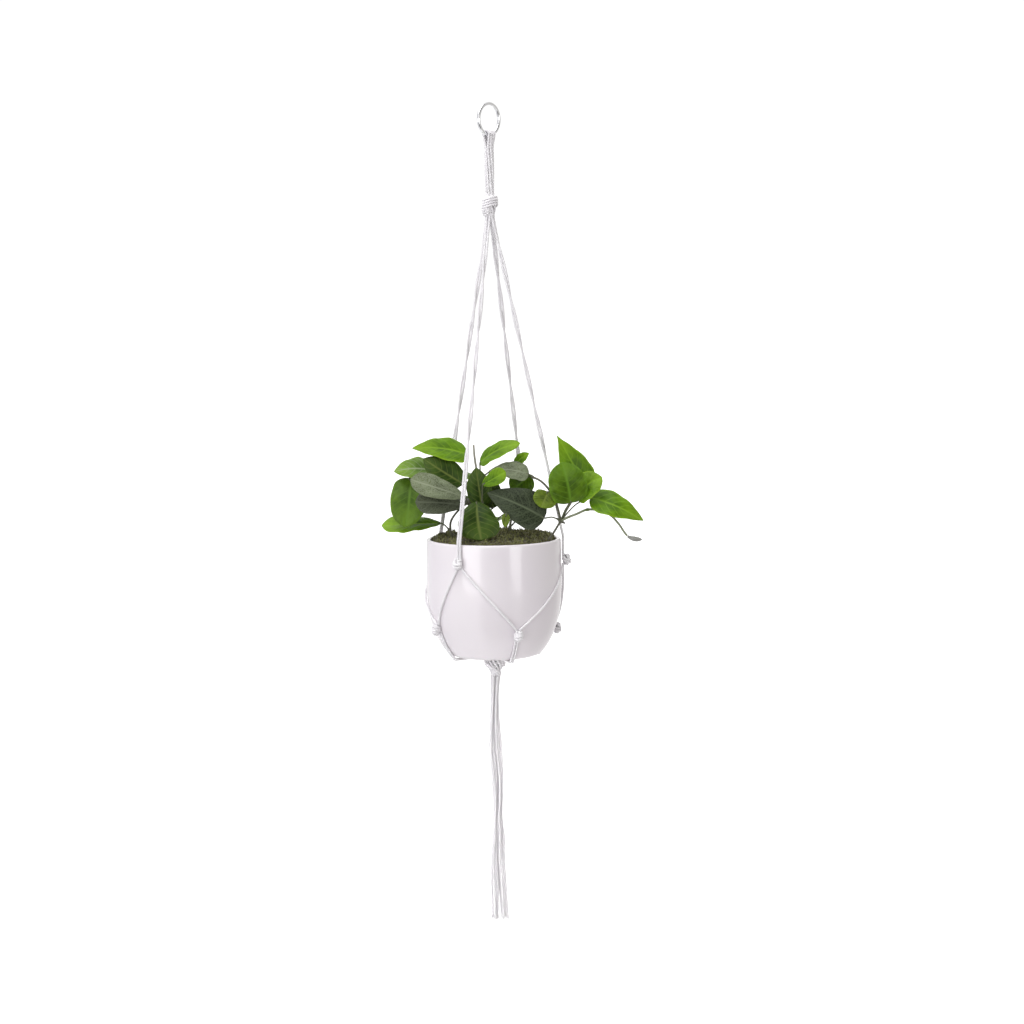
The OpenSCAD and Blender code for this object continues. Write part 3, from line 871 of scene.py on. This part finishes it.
# ---- pot ----
POT_SIDES = 176
POT_CORNER = 4 * MM
POT_LIP = 2 * MM
POT_FLOOR = 7 * MM  # height of the floor inside
POT_EASE = 0.5 * MM  # how much narrower the pot is at its rim than at its belly
CENTRE_R = 2 * MM  # where the turned outline ends at the axis
# the hollow under the foot, as insets from the foot's edge and heights
FOOT_RING = [(9 * MM, 1.6 * MM), (7 * MM, 1.4 * MM), (6 * MM, 0.4 * MM), (5 * MM, 0)]


def lathe(profile, wobble=0.0):
    """A turned shape from (radius, height) pairs, listed up the outside and down the inside."""
    a = np.arange(POT_SIDES) * 2 * math.pi / POT_SIDES
    rings = []
    for r, z in profile:
        ring = np.column_stack([r * np.sin(a), -r * np.cos(a), np.full(POT_SIDES, z)])
        if wobble and r > 20 * MM:
            push = [wobble * noise.noise(Vector(p) * 22) for p in ring]
            ring[:, :2] *= 1 + np.array(push)[:, None] / r
        rings.append(ring)
    return np.array(rings)


def arc(cx, cz, r, start, end, steps):
    a = np.radians(np.linspace(start, end, steps))
    return [(cx + r * math.cos(t), cz + r * math.sin(t)) for t in a]


def make_pot(white, clay):
    n = wall_normal(FOOT_Z)
    rounding = math.degrees(math.atan2(n[1], n[0]))
    base_r = FOOT_R - POT_CORNER * 0.25
    profile = [(CENTRE_R, FOOT_Z + FOOT_RING[0][1])]
    profile += [(base_r - inset, FOOT_Z + h) for inset, h in FOOT_RING]
    profile += arc(base_r - POT_CORNER, FOOT_Z + POT_CORNER, POT_CORNER, -90, rounding, 9)
    first = FOOT_Z + POT_CORNER * (1 + math.sin(math.radians(rounding))) + 1 * MM
    profile += [(pot_at(z), z) for z in np.linspace(first, BELLY_Z, 30)]
    lip_z = RIM_Z - POT_LIP
    for z in np.linspace(BELLY_Z, lip_z, 14)[1:]:
        profile.append((POT_R - POT_EASE * ((z - BELLY_Z) / (RIM_Z - BELLY_Z)) ** 2, z))
    rim_r = profile[-1][0]
    profile += arc(rim_r - POT_LIP, lip_z, POT_LIP, 0, 90, 7)[1:]
    profile += arc(rim_r - WALL + POT_LIP, lip_z, POT_LIP, 90, 180, 7)
    floor_z = FOOT_Z + POT_FLOOR
    profile += [(pot_at(z) - WALL, z) for z in np.linspace(RIM_Z - POT_LIP * 2, floor_z, 30)]
    profile.append((CENTRE_R, floor_z))
    shape = Shape()
    rings = lathe(profile, 0.18 * MM)
    shape.rings(rings, lengths(rings[:, 0]), 0.5)
    pot = piece("pot_glazed", shape, white, "planted_pot", ["pot"])
    pot.data.materials.append(clay)
    for face in pot.data.polygons:
        flat = face.center.z < FOOT_Z + 0.25 * MM and face.normal.z < -0.9
        face.material_index = 1 if flat else 0


# ---- soil and moss ----
SOIL_R = POT_R - WALL - 0.3 * MM
SOIL_CROWN = 8 * MM
LUMPS = [(3.2 * MM, 60), (1.6 * MM, 150), (0.7 * MM, 420)]  # each as its height and fineness
TUFTS = 2600


def soil_top(x, y):
    """Height of the planting bed, level with the rim at its edge and lumpy with moss."""
    r = math.hypot(x, y) / SOIL_R
    crown = SOIL_CROWN * (1 - r * r) - 2 * MM
    p = Vector((x, y, 0))
    lumps = sum(height * noise.noise(p * fineness) for height, fineness in LUMPS)
    shoulder = 3.5 * MM * math.exp(-((r - 0.88) / 0.1) ** 2)
    return RIM_Z + crown + (lumps + shoulder) * min(1.0, (1 - r) * 14 + 0.25)


def make_soil(green):
    rings_n, sides = 60, 150
    rings, tones = [], []
    for i in range(rings_n):
        r = SOIL_R * max(1 - i / (rings_n - 1), 0.012)
        for j in range(sides):
            a = 2 * math.pi * j / sides
            x, y = r * math.sin(a), -r * math.cos(a)
            z = soil_top(x, y)
            rings.append((x, y, z))
            p = Vector((x, y, 0))
            tones.append(0.42 + 0.35 * noise.noise(p * 45 + Vector((3, 1, 0))) + 25 * (z - RIM_Z))
    shape = Shape()
    grid = np.array(rings).reshape(rings_n, sides, 3)
    skirt = [grid[0] * [0.98, 0.98, 1] - [0, 0, d * MM] for d in (24, 12)]
    grid = np.vstack([[skirt[0]], [skirt[1]], grid])
    tones = np.concatenate([np.full(2 * sides, 0.1), np.clip(tones, 0, 1)])
    shape.rings(grid, np.linspace(0, SOIL_R, len(grid)), tones)
    rng = np.random.default_rng(7)
    for _ in range(TUFTS):
        r, a = SOIL_R * math.sqrt(rng.uniform(0.0, 0.985)), rng.uniform(0, 2 * math.pi)
        x, y = r * math.sin(a), -r * math.cos(a)
        foot = np.array([x, y, soil_top(x, y) - 0.6 * MM])
        lean = np.array([rng.normal(0, 0.5), rng.normal(0, 0.5), 1.0])
        tall = rng.uniform(1.6, 4.2) * MM
        tip = foot + unit(lean) * tall
        path = np.array([foot, mix(foot, tip, 0.5) + rng.normal(0, 0.25, 3) * MM, tip])
        radii = np.array([0.75, 0.6, 0.12]) * MM * rng.uniform(0.6, 1.2)
        shape.tube(path, radii, 4, rng.uniform(0.35, 1.0))
    piece("soil_moss", shape, green, "planted_pot", ["soil"])


# ---- foliage ----
# A sprig is its stems, then its leaves: [stem, point on it, base, tip, width, facing, bow, kind, outline]
SPRIGS = [
    ([
        [[-14, 2, -500], [-18, 0, -470], [-24, -4, -440], [-30, -8, -412], [-32, -8, -402]],
        [[-14, 2, -500], [-28, -4, -484], [-42, -4, -472], [-50, -2, -464]],
    ], [
        [0, 4, [-28, -8, -380.5], [-88, -20, -372.5], 36, [0.1, -0.65, 0.75], 2, "bright", "wide"],
        [0, 3, [-58, 2, -402], [-109, -8, -399], 38, [0, -0.6, 0.8], 4, "pale", "ovate"],
        [0, 3, [-33, -22, -412], [-76, -22, -384], 34, [-0.2, -0.8, 0.6], 3, "deep", "ovate"],
        [0, 2, [-90.5, -2, -407], [-96.5, -22, -459.5], 42, [-0.2, -1, 0.25], 5, "fresh", "round"],
        [1, 3, [-59, 2, -458], [-124, 0, -460], 34, [0, -0.45, 0.9], 3, "bright", "blunt"],
        [0, 2, [-42, 10, -424], [-88, 16, -412], 26, [-0.1, 0.3, 0.9], 5, "bright", "ovate"],
    ]),
    ([
        [[-40, -12, -500], [-46, -17, -472], [-47, -22, -455], [-40, -27, -443], [-33, -28, -437]],
    ], [
        [0, 4, [-33, -32, -425], [-90, -38, -405.5], 27, [-0.1, -0.85, 0.5], 6, "silver", "blunt"],
        [0, 4, [-33, -26, -435], [-85, -35, -430.5], 30, [0, -0.8, 0.55], 3, "dusk", "blunt"],
    ]),
    ([
        [[-6, 4, -500], [-9, 2, -465], [-12, -2, -430], [-14, -6, -408]],
        [[-12, -2, -430], [-17, 0, -405], [-20, 0, -385], [-21, 0, -371]],
    ], [
        [0, 3, [-14, -6, -390.5], [30.5, -16, -368.5], 25, [0, -0.6, 0.8], 7, "bright", "round"],
        [0, 3, [24, -6, -393], [40, -9, -380], 14, [0, -0.7, 0.7], 1, "bright", "ovate"],
    ]),
    ([
        [[0, -16, -500], [-4, -20, -470], [-8, -26, -448], [-12, -30, -432]],
    ], [
        [0, 2, [-18, -36, -431], [-13, -56, -471], 46, [0.15, -0.9, 0.4], 4, "deep", "blunt"],
        [0, 1, [14, -55, -442], [13, -57, -457], 9, [0, -1, 0.2], 1, "olive", "ovate"],
        [0, 2, [-12, -22, -438], [-18, -26, -394], 29, [-0.3, -0.9, 0.3], 3, "deep", "ovate"],
        [0, 2, [0, -15, -440], [-3, -18, -404], 24, [0.4, -0.9, 0.3], 3, "deep", "ovate"],
        [0, 3, [-11, -38, -412], [14, -41, -397], 18, [0, -1, 0.35], 2, "bright", "blunt"],
    ]),
    ([
        [[46, -20, -500], [56, -26, -480], [65, -30, -468], [74, -33, -453]],
        [[74, -33, -453], [82, -35, -449], [92, -37, -445], [103, -38, -440.5], [116, -39, -441.5],
         [128, -40, -446.5], [137, -41, -456], [143, -42, -465], [146.4, -42.5, -469.3]],
        [[74, -33, -453], [69, -33, -433], [61, -32, -418], [52, -29, -409], [43, -26, -405]],
    ], [
        [0, 3, [104, -22, -417.5], [71, -25, -360], 36, [0.3, -0.9, 0.3], 5, "bright", "pointed"],
        [0, 3, [85, -48, -432], [75.5, -52, -387], 42, [-0.2, -0.9, 0.4], 5, "rich", "round"],
        [0, 3, [90, -41, -426], [119, -46, -404], 32, [0.2, -0.7, 0.65], 4, "bright", "round"],
        [0, 3, [107, -36, -427.5], [164, -44, -452.5], 34, [0.2, -0.75, 0.6], 9, "bright", "wide"],
        [0, 3, [56, -41, -449], [-6, -36, -421], 44, [0.15, -0.9, 0.4], 5, "slate", "wide"],
        [2, 1, [60, -40, -420], [52, -44, -437], 26, [0, -1, 0.2], 2, "olive", "round"],
        [2, 4, [39.5, -26, -402], [-4, -24, -398], 26, [0, -0.7, 0.7], 4, "silver", "wide"],
        [2, 4, [42, -14, -405], [20, -8, -423], 30, [0.1, -0.8, 0.5], 2, "rich", "round"],
    ]),
    ([
        [[-8, 12, -500], [-10, 18, -465], [-12, 24, -435], [-14, 28, -425]],
    ], [
        [0, 3, [-14, 40, -420], [-30, 88, -412], 30, [0, 0.4, 0.9], 6, "fresh", "ovate"],
        [0, 2, [-22, 42, -436], [-42, 92, -452], 30, [0, 0.5, 0.85], 8, "deep", "ovate"],
        [0, 1, [-4, 46, -460], [4, 88, -466], 22, [0.1, 0.4, 0.9], 4, "bright", "ovate"],
    ]),
    ([
        [[14, 10, -500], [18, 14, -465], [24, 18, -440], [30, 22, -425]],
    ], [
        [0, 1, [60, 38, -440], [98, 62, -434], 30, [0.3, 0.3, 0.9], 6, "fresh", "ovate"],
        [0, 2, [30, 24, -434], [50, 46, -436], 22, [0.2, 0.4, 0.9], 4, "deep", "ovate"],
    ]),
]
BARE_STEMS = {(2, 1): "cut_stem", (4, 1): "bare_twig"}
TWIG_NODE = 3  # the bare twig's joint, by its point

STEM_R = 1.3 * MM
STALK_R = 0.8 * MM
LEAF_FOLD = 0.18  # how steeply the halves rise from the rib
LEAF_CURL = 0.16  # how far the edges turn down again
LEAF_WAVE = 0.045  # height of the waves along the edge
LEAF_QUILT = 0.28 * MM  # height of the bulges between side veins
RIB_GROOVE = 0.35 * MM
LEAF_T = 0.6 * MM
LEAF_ROWS, LEAF_COLS = 46, 25
# half width along the leaf, as shares of its greatest and of the leaf's length
OUTLINES = {
    "ovate": [[0, 0.16], [0.05, 0.48], [0.14, 0.79], [0.36, 1],
              [0.6, 0.91], [0.8, 0.64], [0.93, 0.3], [1, 0.03]],
    "round": [[0, 0.34], [0.05, 0.66], [0.16, 0.9], [0.42, 1],
              [0.66, 0.94], [0.84, 0.7], [0.95, 0.36], [1, 0.04]],
    "wide": [[0, 0.28], [0.04, 0.6], [0.1, 0.85], [0.26, 1],
             [0.55, 0.84], [0.8, 0.47], [0.93, 0.2], [1, 0.03]],
    "blunt": [[0, 0.14], [0.06, 0.34], [0.2, 0.62], [0.5, 0.94],
              [0.72, 1], [0.86, 0.84], [0.95, 0.5], [1, 0.05]],
    "pointed": [[0, 0.2], [0.05, 0.58], [0.12, 0.84], [0.25, 1],
                [0.5, 0.88], [0.76, 0.47], [0.9, 0.17], [1, 0.02]],
}


def leaf(base, tip, width, facing, bow, outline, seed):
    """A folded, arched leaf with quilted veins, wavy edges and a raised rib underneath."""
    base, tip = np.array(base) * MM, np.array(tip) * MM
    width, bow = width * MM, bow * MM
    length = float(np.linalg.norm(tip - base))
    along = (tip - base) / length
    up = unit(np.array(facing) - (np.array(facing) @ along) * along)
    across = np.cross(up, along)
    u = np.linspace(0, 1, LEAF_ROWS)[:, None] ** 0.92
    v = np.sin(np.linspace(-math.pi / 2, math.pi / 2, LEAF_COLS))[None, :]
    w = np.abs(v)
    edge = curve([[a, b, 0] for a, b in OUTLINES[outline]], 0.01)
    half = width / 2 * np.interp(u, edge[:, 0], edge[:, 1])
    rng = np.random.default_rng(seed)
    waves, shift = rng.uniform(2.2, 3.4), rng.uniform(0, 6.28)
    rise = 4 * bow * u * (1 - u) + LEAF_FOLD * half * (np.sqrt(w**2 + 0.01) - 0.1)
    rise = rise - LEAF_CURL * half * w**3
    vein = np.cos(2 * math.pi * (u * SIDE_VEINS - w * VEIN_SLANT + 0.5))
    rise = rise + LEAF_QUILT * vein * (w * (1.15 - w)) * 3.2 * np.sin(math.pi * u) ** 0.5
    rise = rise + LEAF_WAVE * half * w**2 * np.sin(2 * math.pi * waves * u + shift + (v > 0) * 1.3)
    rise = rise - RIB_GROOVE * np.exp(-((w / 0.08) ** 2)) * np.sin(math.pi * u) ** 0.5
    sway = rng.uniform(-1, 1) * 0.05 * length * np.sin(math.pi * u)
    flat = base + (u * length)[..., None] * along + (v * half + sway)[..., None] * across
    top = flat + rise[..., None] * up
    normal = unit(np.cross(np.gradient(top, axis=0), np.gradient(top, axis=1)))
    thick = LEAF_T * (1 - 0.7 * w**4) * np.ones_like(u)
    bottom = top - thick[..., None] * normal
    shape = Shape()
    tones = np.repeat([0.0, 1.0], LEAF_ROWS * LEAF_COLS)
    shape.grid(top, bottom, tones)
    rib = bottom[: int(LEAF_ROWS * 0.86) : 2, LEAF_COLS // 2]
    shape.tube(rib, np.linspace(0.75, 0.25, len(rib)) * MM, 6, 0.8)
    return shape


def stalk_path(start, base, tip):
    start, base, tip = (np.array(p) * MM for p in (start, base, tip))
    rise = np.array([0, 0, 0.12 * np.linalg.norm(base - start)])
    return curve([start, mix(start, base, 0.5) + rise, base, base + 3 * MM * unit(tip - base)], 1.5 * MM)


def stem_radius(path, joints, thick):
    """A stem's radius, thinner towards its tip and swollen where stalks leave it."""
    along = lengths(path)
    r = thick * np.linspace(1.08, 0.88, len(path))
    for joint in joints:
        at = along[np.argmin(np.linalg.norm(path - joint, axis=1))]
        r = r * (1 + 0.4 * np.exp(-(((along - at) / (1.6 * MM)) ** 2)))
    return r


def make_foliage(leaf_materials, stem_material, bare_materials):
    for i, (stems, leaves) in enumerate(SPRIGS):
        node, leaf_node = f"sprig_stems_{i + 1}", f"sprig_leaves_{i + 1}"
        shape = Shape()
        for k, route in enumerate(stems):
            path = curve(np.array(route) * MM, 1.2 * MM)
            name = BARE_STEMS.get((i, k))
            if name:
                bare = Shape()
                joints = [np.array(route[TWIG_NODE]) * MM]
                young = np.exp(-((np.linalg.norm(path - joints[0], axis=1) / (4 * MM)) ** 2))
                if name == "cut_stem":
                    joints, young = [], 0.0
                bare.tube(path, stem_radius(path, joints, STEM_R), 12, young)
                piece(name, bare, bare_materials[name], "planted_pot", [node])
            else:
                joints = [np.array(route[row[1]]) * MM for row in leaves if row[0] == k]
                shape.tube(path, stem_radius(path, joints, STEM_R), 12, 0.0)
        for stem, point, base, tip, *_ in leaves:
            path = stalk_path(stems[stem][point], base, tip)
            r = STALK_R * (1 + 0.35 * np.abs(np.linspace(-1, 1, len(path))) ** 4)
            shape.tube(path, r, 8, 0.45)
        piece(f"stems_{i + 1}", shape, stem_material, "planted_pot", [node])
        for k, (_, _, base, tip, width, facing, bow, kind, outline) in enumerate(leaves):
            shape = leaf(base, tip, width, facing, bow, outline, 10 * i + k)
            name = f"leaf_{i + 1}_{k + 1}"
            piece(name, shape, leaf_materials[kind], "planted_pot", [leaf_node])


def make_bud(material):
    """A closed bud of three overlapping scales at the twig's end."""
    route = MM * np.array([[146.8, -42.5, -469.6], [149.5, -43, -471.2], [153.5, -43.3, -472.3],
                           [158, -43.7, -473], [162.5, -44, -473.3]])
    path = curve(route, 0.4 * MM)
    t = np.linspace(0, 1, len(path))
    shape = Shape()
    swell = np.interp(t, [0, 0.2, 0.45, 0.75, 0.92, 1], [1.25, 2.0, 2.7, 2.4, 1.4, 0.5]) * MM
    shape.tube(path, swell, 16, 0.0)
    x, y = frames(path)
    for k in range(3):
        a = 2.1 * k + 0.4
        out = x * math.cos(a) + y * math.sin(a)
        scale_path = (path + out * swell[:, None] * 0.55)[2 + 4 * k:-1]
        flat = np.sin(np.linspace(0.25, math.pi, len(scale_path))) ** 0.6
        shape.tube(scale_path, 1.4 * MM * flat + 0.12 * MM, 10, 0.1 * k)
    piece("twig_bud_scales", shape, material, "planted_pot", ["twig_bud"])


# ---- the scene ----
make_camera()
cord_material = cotton()
make_tail(cord_material)
make_world()
make_lights()
make_floor()
make_ring(chrome())
make_neck(cord_material)
make_top_knot(cord_material)
make_legs(cord_material)
make_net(cord_material)
make_under_strands(cord_material)
make_small_knots(cord_material)
make_bottom_knot(cord_material)
make_pot(glaze(), bisque())
make_soil(moss())

BARE = {
    "cut_stem": bark("cut_stem", (0.24, 0.22, 0.18), (0.52, 0.50, 0.44), (0.3, 0.3, 0.2)),
    "bare_twig": bark("twig", (0.16, 0.18, 0.11), (0.36, 0.39, 0.26), (0.11, 0.17, 0.03)),
}
leaf_finishes = {name: leaf_finish(name, *colours) for name, colours in LEAF_COLOURS.items()}
stem_bark = bark("stem", (0.05, 0.052, 0.03), (0.20, 0.20, 0.14), (0.09, 0.115, 0.045))
make_foliage(leaf_finishes, stem_bark, BARE)
make_bud(bark("bud", (0.20, 0.20, 0.18), (0.42, 0.42, 0.40), (0.26, 0.27, 0.21)))
